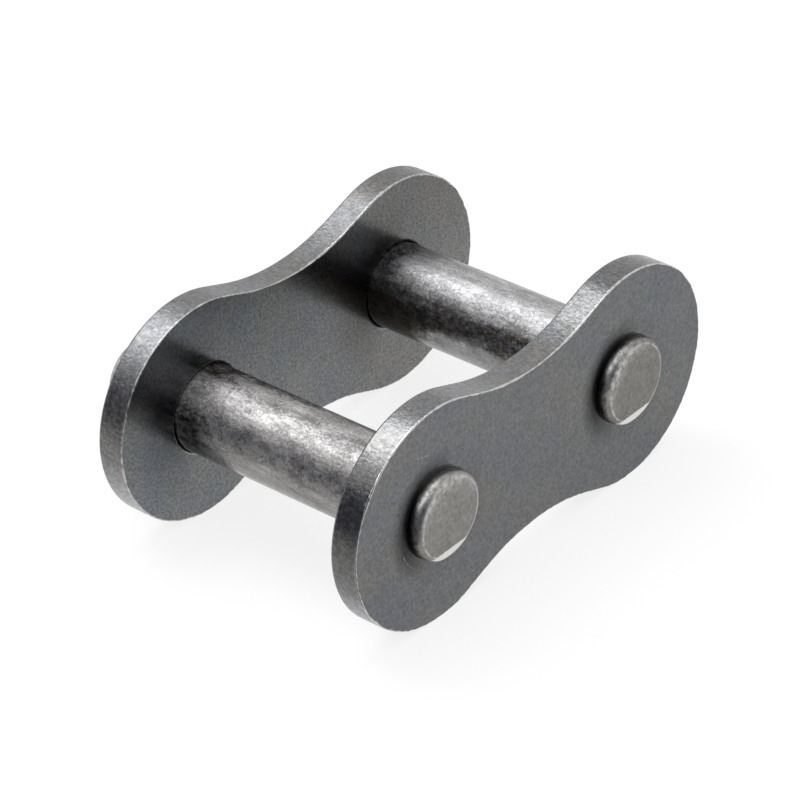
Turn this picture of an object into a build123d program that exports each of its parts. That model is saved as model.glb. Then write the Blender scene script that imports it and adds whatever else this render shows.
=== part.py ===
from build123d import *
import math
import os

# Connecting link of a heavy roller chain, in millimetres.
# X runs along the chain, Y along the pins, Z up through the depth of the plates.
# The origin lies on the pitch line, midway between the pins and midway between the plates.
# The plate with the pressed-in pins is at -Y, the loose plate and its clip are at +Y.

# --- Chain sizes -----------------------------------------------------------
pitch = 31.75              # distance between the two pin axes
plate_gap = 29.3           # clear width between the plates
plate_thickness = 3.5

# --- Plate outline ---------------------------------------------------------
lobe_radius = 13.02        # round end of a plate
lobe_overhang = 0.39       # how far the centre of a round end lies outside its pin axis
waist_depth = 19.28        # depth of a plate at its waist
plate_flank = 3.4          # straight run between a round end and the hollow of the waist
die_roll = 0.42            # rounding that blanking leaves on one side of a plate
burr_break = 0.14          # narrow flat on the other side, where the burr was tumbled off

# --- Pins ------------------------------------------------------------------
pin_diameter = 10.19
head_length = 1.3          # pin end that stands out of the fixed plate
head_rounding = 0.65       # rim of that end
bevel_chord = 3.75         # distance from the pin axis to the start of the ground bevel
bevel_angle = 14.0         # slope of the ground bevel under each head, in degrees
tail_length = 7.2          # pin end that stands out of the loose plate
tail_chamfer = 0.8
loose_hole_clearance = 0.08    # radial, so that the loose plate slides on by hand
hole_chamfer = 0.3         # edge of the holes in the loose plate

# --- Spring clip -----------------------------------------------------------
clip_thickness = 2.0
clip_play = 0.08           # gap between the clip and the flat faces beside it
groove_diameter = 8.0      # bottom of the clip's groove in a pin
seat_clearance = 0.05      # radial, between the clip's round seats and the grooves
clip_band = 4.2            # width of the clip's material round a seat
clip_leg = 3.5             # width of a leg midway between the pins
clip_slot = 5.6            # gap between the legs there
clip_flank = 5.0           # straight run between a round seat and the hollow of a leg
neck_width = 6.2           # narrowest part of the mouth, which snaps over the groove
mouth_angle = 36.0         # angle between the two sides of the mouth, in degrees
tip_reach = 9.0            # from the pin axis to the end of the tips
tip_width = 2.6            # width of each tip at its end
tip_flare = 10.0           # angle at which the outer edges of the jaws spread, in degrees
jaw_rounding = 0.8         # corners of the neck and the tips
clip_edge_break = 0.15

pick_slack = 0.01          # how far an edge may lie from where it is looked for

# --- Places that follow from the sizes above ---------------------------------
pin_x = pitch / 2
pin_radius = pin_diameter / 2
fixed_inner_y = -plate_gap / 2
fixed_outer_y = fixed_inner_y - plate_thickness
loose_inner_y = plate_gap / 2
loose_outer_y = loose_inner_y + plate_thickness
head_end_y = fixed_outer_y - head_length
tail_end_y = loose_outer_y + tail_length
clip_inner_y = loose_outer_y + clip_play
clip_outer_y = clip_inner_y + clip_thickness
groove_outer_y = clip_outer_y + clip_play
seat_radius = groove_diameter / 2 + seat_clearance
neck_x = pin_x + math.sqrt(seat_radius**2 - (neck_width / 2)**2)


def bone_outline(end_radius, end_x, waist_half, flank):
    """Face with two round ends, hollow sides and straight tangent flanks, centred on the origin."""
    # A hollow of this radius leaves exactly the stated flank between it and the round end.
    reach = end_x**2 + waist_half**2 - end_radius**2 - flank**2
    waist_radius = reach / (2 * (end_radius - waist_half))
    hollow = (0, waist_half + waist_radius)
    # Direction from the centre of the round end to the point where the flank leaves it.
    towards_hollow = math.atan2(hollow[1], -end_x)
    leave_angle = towards_hollow - math.atan2(flank, end_radius + waist_radius)
    leave_degrees = math.degrees(leave_angle)
    hollow_x = -waist_radius * math.cos(leave_angle)
    hollow_y = hollow[1] - waist_radius * math.sin(leave_angle)
    with BuildSketch() as bone:
        with BuildLine():
            round_end = CenterArc((end_x, 0), end_radius, 0, leave_degrees)
            side = Line(round_end @ 1, (hollow_x, hollow_y))
            RadiusArc(side @ 1, (0, waist_half), waist_radius)
            mirror(about=Plane.YZ)
            mirror(about=Plane.XZ)
        make_face()
    return bone.sketch


def slab(outline, low_y, thickness):
    """Flat outline stood up in the XZ plane and thickened from low_y towards +Y."""
    standing = Plane.XZ.offset(-low_y) * outline
    return extrude(standing, amount=-thickness)


def rim_at(solid, y):
    """Edges of the outer outline that lie at one height along Y."""
    low = y - pick_slack
    high = y + pick_slack
    return solid.edges().filter_by_position(Axis.Y, low, high)


def roll_edge(plate, face_y):
    """Roll the rim at +Y off in three flats, each tangent to a quarter round of radius die_roll."""
    middle_flat = die_roll * (2 - math.sqrt(2))
    side_flats = die_roll * (math.tan(math.pi / 8) - math.tan(math.pi / 16))
    plate = chamfer(rim_at(plate, face_y), middle_flat)
    plate = chamfer(rim_at(plate, face_y), side_flats)
    return chamfer(rim_at(plate, face_y - middle_flat), side_flats)


def link_plate(low_y, hole_radius):
    """Blanked outer plate with its two pin holes, rolled over at +Y and nearly sharp at -Y."""
    outline = bone_outline(lobe_radius, pin_x + lobe_overhang, waist_depth / 2, plate_flank)
    plate = slab(outline, low_y, plate_thickness)
    plate = chamfer(rim_at(plate, low_y), burr_break)
    plate = roll_edge(plate, low_y + plate_thickness)
    for side in (-1, 1):
        hole = Pos(side * pin_x, low_y + plate_thickness / 2, 0) * Rot(90, 0, 0)
        plate -= hole * Cylinder(hole_radius, plate_thickness)
    return plate


def break_hole_edges(plate, hole_radius):
    """Chamfer both rims of each pin hole."""
    rims = plate.edges().filter_by(GeomType.CIRCLE)
    rims = rims.filter_by(lambda rim: abs(rim.radius - hole_radius) < pick_slack)
    return chamfer(rims, hole_chamfer)


def link_pin(x):
    """Turned pin with a rounded, bevelled head, a clip groove and a chamfered tail."""
    length = tail_end_y - head_end_y
    lie_along_y = Pos(x, head_end_y + length / 2, 0) * Rot(90, 0, 0)
    pin = lie_along_y * Cylinder(pin_radius, length)
    pin = fillet(pin.edges().sort_by(Axis.Y)[0], head_rounding)
    pin = chamfer(pin.edges().sort_by(Axis.Y)[-1], tail_chamfer)
    groove_length = groove_outer_y - loose_outer_y
    groove_place = Pos(x, loose_outer_y + groove_length / 2, 0) * Rot(90, 0, 0)
    ring = Cylinder(pin_diameter, groove_length) - Cylinder(groove_diameter / 2, groove_length)
    pin -= groove_place * ring
    # The bevel's plane meets the end face along the chord and falls away below it.
    bevel_plane = Pos(x, head_end_y, -bevel_chord) * Rot(bevel_angle, 0, 0)
    bevel = bevel_plane * Pos(0, -pin_radius, 0) * Box(2 * pin_diameter, pin_diameter, 2 * pin_diameter)
    return pin - bevel


def clip_outline():
    """Spring clip: a closed round end at -X, two legs, and jaws that open towards +X."""
    leg_half = clip_slot / 2 + clip_leg
    rim = bone_outline(seat_radius + clip_band, pin_x, leg_half, clip_flank)
    slot = bone_outline(seat_radius, pin_x, clip_slot / 2, clip_flank)
    tip_x = pin_x + tip_reach
    mouth_slope = math.tan(math.radians(mouth_angle / 2))
    tip_inner = neck_width / 2 + (tip_x - neck_x) * mouth_slope
    tip_outer = tip_inner + tip_width
    root_outer = tip_outer - tip_reach * math.tan(math.radians(tip_flare))
    jaws = Polyline(
        (pin_x, root_outer),
        (tip_x, tip_outer),
        (tip_x, -tip_outer),
        (pin_x, -root_outer),
        close=True,
    )
    mouth_point_x = neck_x - neck_width / 2 / mouth_slope
    mouth_end_x = tip_x + tip_reach
    mouth_end = (mouth_end_x - mouth_point_x) * mouth_slope
    mouth = Polyline(
        (mouth_point_x, 0),
        (mouth_end_x, mouth_end),
        (mouth_end_x, -mouth_end),
        close=True,
    )
    return rim + make_face(jaws) - slot - make_face(mouth)


def spring_clip():
    """Flat clip stood up beside the loose plate, with rounded jaws and broken edges."""
    clip = slab(clip_outline(), clip_inner_y, clip_thickness)
    corners = clip.edges().filter_by(Axis.Y)
    jaw_corners = corners.filter_by(lambda corner: corner.center().X > neck_x - pick_slack)
    clip = fillet(jaw_corners, jaw_rounding)
    faces = clip.faces().sort_by(Axis.Y)
    edges = faces[0].edges() + faces[-1].edges()
    return chamfer(edges, clip_edge_break)


pieces = {
    "fixed_plate": link_plate(fixed_outer_y, pin_radius),
    "loose_plate": break_hole_edges(
        link_plate(loose_inner_y, pin_radius + loose_hole_clearance),
        pin_radius + loose_hole_clearance,
    ),
    "left_pin": link_pin(-pin_x),
    "right_pin": link_pin(pin_x),
    "spring_clip": spring_clip(),
}

os.makedirs("parts", exist_ok=True)
for name, piece in pieces.items():
    piece.label = name
    export_step(piece, f"parts/{name}.step")
    size = piece.bounding_box().size
    print(f"{name}: {size.X:.2f} x {size.Y:.2f} x {size.Z:.2f} mm, {piece.volume:.1f} mm3")
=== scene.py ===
# %% [markdown]
# # Connecting link of a heavy roller chain
# A connecting link closes a roller chain into a loop. Two pins are pressed into one outer plate,
# the second plate is pushed on by hand, and a flat spring clip in the pins' grooves keeps it on.
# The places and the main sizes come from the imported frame, so the pieces meet without being
# shifted by eye. We load that frame first and keep its box, because the finished pieces must
# stay inside it.

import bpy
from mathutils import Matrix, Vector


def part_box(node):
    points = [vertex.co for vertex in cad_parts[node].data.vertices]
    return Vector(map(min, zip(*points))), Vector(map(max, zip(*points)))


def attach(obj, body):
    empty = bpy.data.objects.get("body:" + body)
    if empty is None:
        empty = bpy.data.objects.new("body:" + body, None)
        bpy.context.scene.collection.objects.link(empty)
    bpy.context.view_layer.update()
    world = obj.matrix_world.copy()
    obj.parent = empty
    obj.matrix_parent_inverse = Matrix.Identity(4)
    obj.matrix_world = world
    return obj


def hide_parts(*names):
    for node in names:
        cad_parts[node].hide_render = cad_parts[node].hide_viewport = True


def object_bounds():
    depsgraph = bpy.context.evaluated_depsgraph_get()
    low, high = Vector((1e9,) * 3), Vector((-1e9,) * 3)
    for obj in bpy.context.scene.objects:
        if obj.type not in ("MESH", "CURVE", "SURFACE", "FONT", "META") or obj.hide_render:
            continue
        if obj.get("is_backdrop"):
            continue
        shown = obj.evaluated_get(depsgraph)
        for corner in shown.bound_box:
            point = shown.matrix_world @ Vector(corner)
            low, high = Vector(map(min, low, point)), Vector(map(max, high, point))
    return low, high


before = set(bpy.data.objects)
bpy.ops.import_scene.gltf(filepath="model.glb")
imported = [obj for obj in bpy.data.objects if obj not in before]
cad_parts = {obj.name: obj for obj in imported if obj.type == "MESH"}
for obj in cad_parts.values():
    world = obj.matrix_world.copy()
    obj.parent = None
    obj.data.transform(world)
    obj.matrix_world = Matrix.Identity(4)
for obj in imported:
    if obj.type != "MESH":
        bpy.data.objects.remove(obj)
cad_low, cad_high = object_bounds()
print("nodes:", sorted(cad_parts))
print("frame box:", [round(value, 5) for value in (*cad_low, *cad_high)])

# %% [markdown]
# ## Camera
# The link is seen from its left and from above, with the pinned plate in front. A long lens
# keeps the two plates almost parallel. The camera turns about the origin of the frame, first
# by azimuth, then by elevation, then by a slight roll, and is then pulled back along its own
# axis. That is how a tripod works, and each of the numbers can be changed without the others.

# %% Camera
import math

import bpy
from mathutils import Euler, Matrix, Vector, noise

MM = 0.001
camera_azimuth = -48.402       # degrees, 0 looks along +Y
camera_elevation = 33.443
camera_roll = 2.606
camera_distance = 384.838 * MM
camera_right = -0.555 * MM     # where the lens points, beside and above the origin
camera_up = -1.333 * MM
picture_pixels = 800
focal_pixels = 3529.5          # focal length, measured in pixels of the picture

camera_data = bpy.data.cameras.new("camera")
camera_data.sensor_width = 36
camera_data.lens = camera_data.sensor_width * focal_pixels / picture_pixels
camera_data.clip_start = 50 * MM
camera_data.clip_end = 20
turn = Euler((math.radians(90 - camera_elevation), 0, math.radians(camera_azimuth))).to_matrix()
turn = turn @ Matrix.Rotation(-math.radians(camera_roll), 3, "Z")
camera = bpy.data.objects.new("camera", camera_data)
camera.matrix_world = turn.to_4x4()
camera.location = turn @ Vector((camera_right, camera_up, camera_distance))
bpy.context.scene.collection.objects.link(camera)
bpy.context.scene.camera = camera
bpy.context.scene.view_settings.view_transform = "Standard"
print("lens:", round(camera_data.lens, 1), "mm, camera at", [round(v, 4) for v in camera.location])

# %% [markdown]
# ## A short way to write nodes
# Every material below is a small tree of nodes. One helper makes a node and fills its inputs,
# either with a constant or with another node's output, so that a tree reads like a sentence.

# %% Node helper
def add_node(tree, kind, inputs=None, **settings):
    """New node; an input is given a constant, or is linked when its value is a socket."""
    node = tree.nodes.new(kind)
    for name, value in settings.items():
        setattr(node, name, value)
    for name, value in (inputs or {}).items():
        if isinstance(value, bpy.types.NodeSocket):
            tree.links.new(value, node.inputs[name])
        else:
            node.inputs[name].default_value = value
    return node


def rescale(tree, value, low, high, start=0.0, end=1.0):
    """Value from start..end brought to low..high, and held there beyond the two ends."""
    mapped = add_node(
        tree,
        "ShaderNodeMapRange",
        {"Value": value, "From Min": start, "From Max": end, "To Min": low, "To Max": high},
    )
    return mapped.outputs["Result"]


def combine(tree, operation, first, second):
    """Two numbers, each a constant or a socket, put through one arithmetic node."""
    node = add_node(tree, "ShaderNodeMath", operation=operation)
    for socket, value in zip(node.inputs, (first, second)):
        if isinstance(value, bpy.types.NodeSocket):
            tree.links.new(value, socket)
        else:
            socket.default_value = value
    return node.outputs["Value"]


print("helpers:", add_node.__name__, rescale.__name__, combine.__name__)

# %% [markdown]
# ## Floor and backdrop
# The link lies on a plain pale table under an even white tent. The floor has to look white and
# still show the link's shadow, so it is a matt surface with a part of its brightness added as a
# glow that only the camera and mirror-like rays see. That glow lights nothing, and steel
# reflects the same white that the camera sees. A floor in pure glow would lose the shadow, and
# a white matt floor would need so much light that the steel would burn out.

# %% Studio helpers
floor_z = cad_low.z


def seen_by_camera_or_mirror(tree):
    """1 for camera, glossy and transmission rays, 0 for the rest."""
    path = add_node(tree, "ShaderNodeLightPath")
    total = path.outputs["Is Camera Ray"]
    for name in ("Is Glossy Ray", "Is Transmission Ray"):
        total = combine(tree, "MAXIMUM", total, path.outputs[name])
    return total


def flat_quad(name, corners, material):
    """One four-sided sheet that belongs to the studio, not to the link."""
    mesh = bpy.data.meshes.new(name)
    mesh.from_pydata(corners, [], [(0, 1, 2, 3)])
    mesh.materials.append(material)
    sheet = bpy.data.objects.new(name, mesh)
    bpy.context.scene.collection.objects.link(sheet)
    sheet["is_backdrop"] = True
    return sheet


print("table at", round(floor_z / MM, 3), "mm")

# %% [markdown]
# The table is one large sheet, so that its rim is never seen. Its material adds the two shares,
# matt and glow, in one node.

# %% Floor
floor_half = 2.5
floor_matt = 0.19              # share of the light that the matt part gives back
floor_glow = 0.80              # brightness added for camera and mirror rays

table = bpy.data.materials.new("pale_table")
table.use_nodes = True
tree = table.node_tree
tree.nodes.clear()
matt = add_node(tree, "ShaderNodeBsdfDiffuse", {"Color": (floor_matt, floor_matt, floor_matt, 1)})
glow_strength = rescale(tree, seen_by_camera_or_mirror(tree), 0.0, floor_glow)
glow = add_node(tree, "ShaderNodeEmission", {"Strength": glow_strength})
both = add_node(tree, "ShaderNodeAddShader")
tree.links.new(matt.outputs[0], both.inputs[0])
tree.links.new(glow.outputs[0], both.inputs[1])
add_node(tree, "ShaderNodeOutputMaterial", {"Surface": both.outputs[0]})
floor_corners = [
    (x * floor_half, y * floor_half, floor_z) for x, y in ((-1, -1), (1, -1), (1, 1), (-1, 1))
]
flat_quad("floor", floor_corners, table)
print("floor is", 2 * floor_half, "m square")

# %% [markdown]
# The tent is the world's background. It is white to the camera and in the steel, and a bit
# weaker where it lights matt surfaces, because the softboxes add their own light there.

# %% White tent
tent_glow = 1.0
tent_light = 0.75              # what the tent gives to matt surfaces

world = bpy.data.worlds.new("tent")
bpy.context.scene.world = world
world.use_nodes = True
sky = world.node_tree
strength = rescale(sky, seen_by_camera_or_mirror(sky), tent_light, tent_glow)
sky.nodes["Background"].inputs["Color"].default_value = (1, 1, 1, 1)
sky.links.new(strength, sky.nodes["Background"].inputs["Strength"])
print("tent:", tent_glow, "to the camera,", tent_light, "to matt surfaces")

# %% [markdown]
# ## Softboxes
# Grey steel shows its shape by what it reflects. One softbox above and behind the link draws the
# bright shoulder on each edge and the long highlight on each pin. A weaker one straight above
# widens that highlight, and a small one on the left puts a bright spot on the rounded side of
# each pin's head. Point lamps would be simpler, but they would only give hard dots.

# %% Softboxes
def direction(azimuth, elevation):
    """Unit vector; azimuth in degrees from +X towards +Y."""
    turned, raised = math.radians(azimuth), math.radians(elevation)
    flat = math.cos(raised)
    return Vector((flat * math.cos(turned), flat * math.sin(turned), math.sin(raised)))


def softbox(name, azimuth, elevation, distance, side, brightness, colour):
    """Square lamp that faces the link; brightness 1 would look white in a mirror."""
    lamp = bpy.data.lights.new(name, "AREA")
    lamp.size = side
    lamp.color = colour
    lamp.energy = brightness * math.pi * side**2
    holder = bpy.data.objects.new(name, lamp)
    holder.location = direction(azimuth, elevation) * distance
    holder.rotation_mode = "QUATERNION"
    holder.rotation_quaternion = direction(azimuth, elevation).to_track_quat("Z", "Y")
    bpy.context.scene.collection.objects.link(holder)


softbox("key_softbox", 95, 57, 0.9, 0.56, 3.8, (0.97, 0.985, 1.0))
softbox("top_softbox", 95, 84, 0.9, 0.44, 2.4, (0.97, 0.985, 1.0))
softbox("left_softbox", -163, 46, 0.7, 0.26, 3.4, (0.95, 0.98, 1.0))
print("lamps:", [light.name for light in bpy.data.lights])

# %% [markdown]
# ## Black cards and a dark sheet
# Black cards beside the table are the photographer's other tool: they put a dark band beside a
# highlight, so that a round surface looks round. One card stands close to the link on its left,
# and a large one stands on the camera's side. A dark sheet runs from it over the table to the
# link's front left: it is painted shade, which stands for the link's shadow on the table in the
# steel. They show in the steel and nowhere else, so the table stays white and has one soft shadow.

# %% Black cards
sheet_lift = 0.2 * MM          # height of a dark or glowing sheet above the table


def black_cloth(name, grey, blue=1.08):
    """Matt black that still gives back a little light, a bit bluer than the tent."""
    material = bpy.data.materials.new(name)
    material.use_nodes = True
    shader = material.node_tree.nodes["Principled BSDF"]
    shader.inputs["Base Color"].default_value = (grey * 0.97, grey, grey * blue, 1)
    shader.inputs["Roughness"].default_value = 0.9
    return material


def only_in_steel(sheet):
    """The sheet shows in reflections and nowhere else, and throws no shadow."""
    sheet.visible_camera = False
    sheet.visible_diffuse = False
    sheet.visible_shadow = False


def card(name, azimuth, distance, width, top, material):
    """Upright black card that stands on the table, square to the link."""
    middle = direction(azimuth, 0) * distance
    along = direction(azimuth + 90, 0) * (width / 2)
    corners = []
    for side, height in ((-1, floor_z), (1, floor_z), (1, top), (-1, top)):
        corners.append((middle + along * side).xy.to_3d() + Vector((0, 0, height)))
    only_in_steel(flat_quad(name, corners, material))


def lay_on_table(name, corners, material):
    """Sheet that lies flat on the table; corners as x and y in millimetres."""
    spots = [(x * MM, y * MM, floor_z + sheet_lift) for x, y in corners]
    only_in_steel(flat_quad(name, spots, material))


card_black = black_cloth("black_card", 0.15, 1.35)
painted_table_shade = black_cloth("black_cloth", 0.16)
card("left_card", 168, 0.112, 0.20, 0.066, card_black)
card("camera_card", -140, 0.50, 0.95, 0.56, card_black)
# Painted shade: a dark sheet that only the steel sees, in place of the link's shadow on the table
# in front of it.
lay_on_table("painted_table_shade", [(-30, -14), (-600, -100), (-600, -600), (-20, -600)], painted_table_shade)
print("black in the steel:", card_black.name, "and", painted_table_shade.name)

# %% [markdown]
# ## Graded glow sheet
# Beside the dark sheet, to the left of the link, lies a sheet that glows from white at the back
# to dark grey at its far left: painted light and painted shade of the table, which only the
# steel sees. The left ends of the plates reflect it, so their edges get darker downwards in a
# soft way, where the bare table would leave them white.

# %% Graded glow sheet
grade_along = 13.0             # change of brightness for each metre along X and Y
grade_across = 9.0
grade_level = 1.32             # brightness that the two slopes would give at the origin
grade_darkest = 0.15

graded = bpy.data.materials.new("painted_table_glow")
graded.use_nodes = True
tree = graded.node_tree
tree.nodes.clear()
place = add_node(tree, "ShaderNodeTexCoord").outputs["Object"]
axes = add_node(tree, "ShaderNodeSeparateXYZ", {"Vector": place}).outputs
along = combine(tree, "MULTIPLY", axes["X"], grade_along)
across = combine(tree, "MULTIPLY", axes["Y"], grade_across)
level = combine(tree, "ADD", combine(tree, "ADD", along, across), grade_level)
level = rescale(tree, level, grade_darkest, 1.0, grade_darkest, 1.0)
# Painted light and shade: the sheet glows, white at the back and darker towards the far left and
# front.
painted_glow = add_node(tree, "ShaderNodeEmission", {"Strength": level})
add_node(tree, "ShaderNodeOutputMaterial", {"Surface": painted_glow.outputs[0]})
lay_on_table("painted_table_glow", [(-30, -14), (-30, 200), (-300, 200), (-300, -55)], graded)
print("graded paper with", len(tree.nodes), "nodes")

# %% [markdown]
# ## Grain
# Steel gets its look from many small things at once: oxide colour, grain, pits and wear. Each
# is a noise of its own size in millimetres, read in the object's own coordinates so that it
# stays on the steel when a part moves. A photographed texture would be quicker, but it would
# bring its own light and would stretch on the curved edges.

# %% Grain
def grain(tree, size, detail=2.0, stretch=(1, 1, 1), shift=0.0, fine=0.55, swirl=0.0):
    """Noise from 0 to 1 with grains of about this size, longer along the stretched axes."""
    place = add_node(tree, "ShaderNodeTexCoord").outputs["Object"]
    scale = [1 / (size * length) for length in stretch]
    mapped = add_node(
        tree, "ShaderNodeMapping", {"Vector": place, "Scale": scale, "Location": (shift,) * 3}
    )
    pattern = add_node(
        tree,
        "ShaderNodeTexNoise",
        {
            "Vector": mapped.outputs["Vector"],
            "Scale": 1.0,
            "Detail": detail,
            "Roughness": fine,
            "Distortion": swirl,
        },
    )
    return pattern.outputs["Fac"]


print("helper:", grain.__name__)

# %% [markdown]
# ## Colour and wear
# A finish is built from the bottom up: one colour is mixed with another where a noise says so,
# or is made darker by a number. Bare metal shows last of all, where the steel has been rubbed.
# How much a place is rubbed is painted on the vertices, because wear follows the shape, and a
# grain then breaks it up, because it is never even.

# %% Colour and wear
def mix_colour(tree, factor, first, second):
    """Blend of two colours, each a colour or a socket."""
    mixer = add_node(tree, "ShaderNodeMix", data_type="RGBA")
    colour_a, colour_b = [socket for socket in mixer.inputs if socket.type == "RGBA"]
    for socket, value in ((mixer.inputs["Factor"], factor), (colour_a, first), (colour_b, second)):
        if isinstance(value, bpy.types.NodeSocket):
            tree.links.new(value, socket)
        else:
            socket.default_value = value if socket.type == "VALUE" else (*value, 1)
    return next(socket for socket in mixer.outputs if socket.type == "RGBA")


def shaded(tree, colour, factor):
    """Colour multiplied by a number."""
    scaled = add_node(tree, "ShaderNodeVectorMath", operation="SCALE")
    tree.links.new(colour, scaled.inputs[0])
    tree.links.new(factor, scaled.inputs["Scale"])
    return scaled.outputs["Vector"]


def worn(tree, low=0.24, high=0.58):
    """Where the steel is rubbed bright: painted on the mesh, then broken up by a grain."""
    painted = add_node(tree, "ShaderNodeAttribute", attribute_name="worn").outputs["Fac"]
    patches = grain(tree, 0.60 * MM, detail=4, shift=7.0, fine=0.65)
    return combine(tree, "MULTIPLY", painted, rescale(tree, patches, 0.0, 1.0, low, high))


print("helpers:", mix_colour.__name__, shaded.__name__, worn.__name__)

# %% [markdown]
# ## How steel is put together
# Every steel below differs in three things only: its colour, its gloss and its relief. So one
# function takes three small functions and connects them to the shader. The relief is a list of
# waves and pits, each with its own size and depth, and each bump is laid over the one before.

# %% Metal
def metal(name, colour_of, roughness_of, relief_of):
    """Steel from three functions of the node tree: its colour, its gloss and its relief."""
    material = bpy.data.materials.new(name)
    material.use_nodes = True
    tree = material.node_tree
    shader = tree.nodes["Principled BSDF"]
    shader.inputs["Metallic"].default_value = 1.0
    tree.links.new(colour_of(tree), shader.inputs["Base Color"])
    tree.links.new(roughness_of(tree), shader.inputs["Roughness"])
    normal = None
    for height, depth in relief_of(tree):
        bump = add_node(tree, "ShaderNodeBump", {"Height": height, "Distance": depth})
        if normal is not None:
            tree.links.new(normal, bump.inputs["Normal"])
        normal = bump.outputs["Normal"]
    tree.links.new(normal, shader.inputs["Normal"])
    print("material:", name, "with", len(tree.nodes), "nodes")
    return material


# %% [markdown]
# ## Oxide
# The plates are blanked from strip, hardened, tumbled and left with a thin oxide. Its colour
# drifts a little between blue and brown over a few millimetres, and it has a fine speckle of
# about a third of a millimetre. Two noises added together make the drift, and a third one the
# speckle, which only changes the brightness.

# %% Oxide
def oxide(tree, first, second, low, high):
    """Oxide that drifts between two tones over a few millimetres, with a fine speckle."""
    clouds = combine(tree, "MULTIPLY", grain(tree, 7 * MM, detail=5, fine=0.6), 0.65)
    specks = combine(tree, "MULTIPLY", grain(tree, 0.35 * MM, detail=3, shift=6.0), 0.35)
    drift = rescale(tree, combine(tree, "ADD", clouds, specks), 0.0, 1.0, 0.36, 0.64)
    film = mix_colour(tree, drift, first, second)
    speckle = rescale(tree, grain(tree, 0.30 * MM, detail=3, fine=0.62), low, high, 0.3, 0.7)
    return shaded(tree, film, speckle)


print("helper:", oxide.__name__)

# %% [markdown]
# ## Cut edges
# The edge of a plate is rougher than its face, because the blank is sheared halfway and then
# breaks off. It gets coarser dimples, streaks across the cut and darker and lighter patches.
# Painted light makes the underside of each edge lighter, more so on the loose plate, and painted
# shade darkens each edge towards its right end. The loose plate's edge is also the duller one. So
# one function makes both edges, and each of them gets its own numbers.

# %% Cut edges
bright_steel = (0.56, 0.55, 0.535)
edge_blue = (0.162, 0.168, 0.182)
edge_brown = (0.196, 0.190, 0.180)


def edge_colour(tree, painted_underside_light, wear):
    """Patches of oxide, painted light on the underside, painted shade at the right end, and bright
    metal where the burr was tumbled off.
    """
    film = oxide(tree, edge_blue, edge_brown, 0.78, 1.22)
    patches = grain(tree, 0.45 * MM, detail=4, stretch=(1, 1.6, 1), shift=2.0, fine=0.7)
    patches = rescale(tree, patches, 0.78, 1.22, 0.35, 0.65)
    place = add_node(tree, "ShaderNodeTexCoord").outputs["Object"]
    axes = add_node(tree, "ShaderNodeSeparateXYZ", {"Vector": place}).outputs
    # Painted light: the underside of the edge is lighter, and painted shade darkens it towards its
    # right end.
    lower = rescale(tree, axes["Z"], painted_underside_light, 1.0, -8 * MM, 0.0)
    right = rescale(tree, axes["X"], 1.0, 0.82, 4 * MM, 18 * MM)
    film = shaded(tree, film, combine(tree, "MULTIPLY", lower, right))
    return mix_colour(tree, worn(tree, *wear), shaded(tree, film, patches), bright_steel)


def edge_metal(name, smoothest, roughest, painted_underside_light, wear):
    """Sheared edge; the third number is painted light on its underside, wear bounds the grain in
    the burr.
    """
    return metal(
        name,
        lambda tree: edge_colour(tree, painted_underside_light, wear),
        lambda tree: rescale(tree, grain(tree, 0.5 * MM, detail=3), smoothest, roughest, 0.3, 0.7),
        lambda tree: [
            (grain(tree, 0.45 * MM, detail=3), 0.046 * MM),
            (grain(tree, 0.20 * MM, detail=2), 0.008 * MM),
            (grain(tree, 0.35 * MM, detail=2, stretch=(1, 6, 1)), 0.012 * MM),
        ],
    )


fixed_edge = edge_metal("sheared_pinned_plate", 0.18, 0.35, 1.25, (0.19, 0.48))
loose_edge = edge_metal("sheared_loose_plate", 0.27, 0.46, 2.15, (0.26, 0.62))

# %% [markdown]
# ## Scuffs, and painted shade round the pins
# The pinned plate has been handled and pressed. The punch left faint arcs round the pins, and
# there are a few short scratches. Each of them is a piece of a circle: a thin band of distances
# from a centre, kept only within a small angle. So the first two helpers measure just that,
# the distance and the angle from a point on the plate.

# %% Scuffs
# Each scuff: x and z of its centre and its radius in millimetres, its middle angle, its half
# angle, and its strength.
scuffs = (
    (-15.88, 0.0, 6.42, -147, 15, 0.9),
    (-15.88, 0.0, 6.95, 160, 10, 0.5),
    (-24.50, -15.9, 25.0, 75.4, 2.3, 0.9),
    (-21.00, 30.0, 25.0, -86, 1.6, 0.6),
    (15.88, 0.0, 6.50, -70, 12, 0.5),
    (20.00, -30.0, 34.0, 96, 2.6, 0.5),
    (2.00, 24.0, 28.0, -100, 1.8, 0.4),
)


def spoke_from(tree, x, z):
    """Vector in the plane of a plate from a centre to the shaded point, and its length."""
    place = add_node(tree, "ShaderNodeTexCoord").outputs["Object"]
    flat = add_node(tree, "ShaderNodeVectorMath", operation="MULTIPLY")
    tree.links.new(place, flat.inputs[0])
    flat.inputs[1].default_value = (1, 0, 1)
    spoke = add_node(tree, "ShaderNodeVectorMath", operation="SUBTRACT")
    tree.links.new(flat.outputs["Vector"], spoke.inputs[0])
    spoke.inputs[1].default_value = (x * MM, 0, z * MM)
    length = add_node(tree, "ShaderNodeVectorMath", operation="LENGTH")
    tree.links.new(spoke.outputs["Vector"], length.inputs[0])
    return spoke.outputs["Vector"], length.outputs["Value"]


def cosine_to(tree, spoke, length, angle):
    """Cosine of the angle between a spoke and a direction in the plane of a plate."""
    towards = add_node(tree, "ShaderNodeVectorMath", operation="DOT_PRODUCT")
    tree.links.new(spoke, towards.inputs[0])
    turned = math.radians(angle)
    towards.inputs[1].default_value = (math.cos(turned), 0, math.sin(turned))
    return combine(tree, "DIVIDE", towards.outputs["Value"], length)


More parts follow.
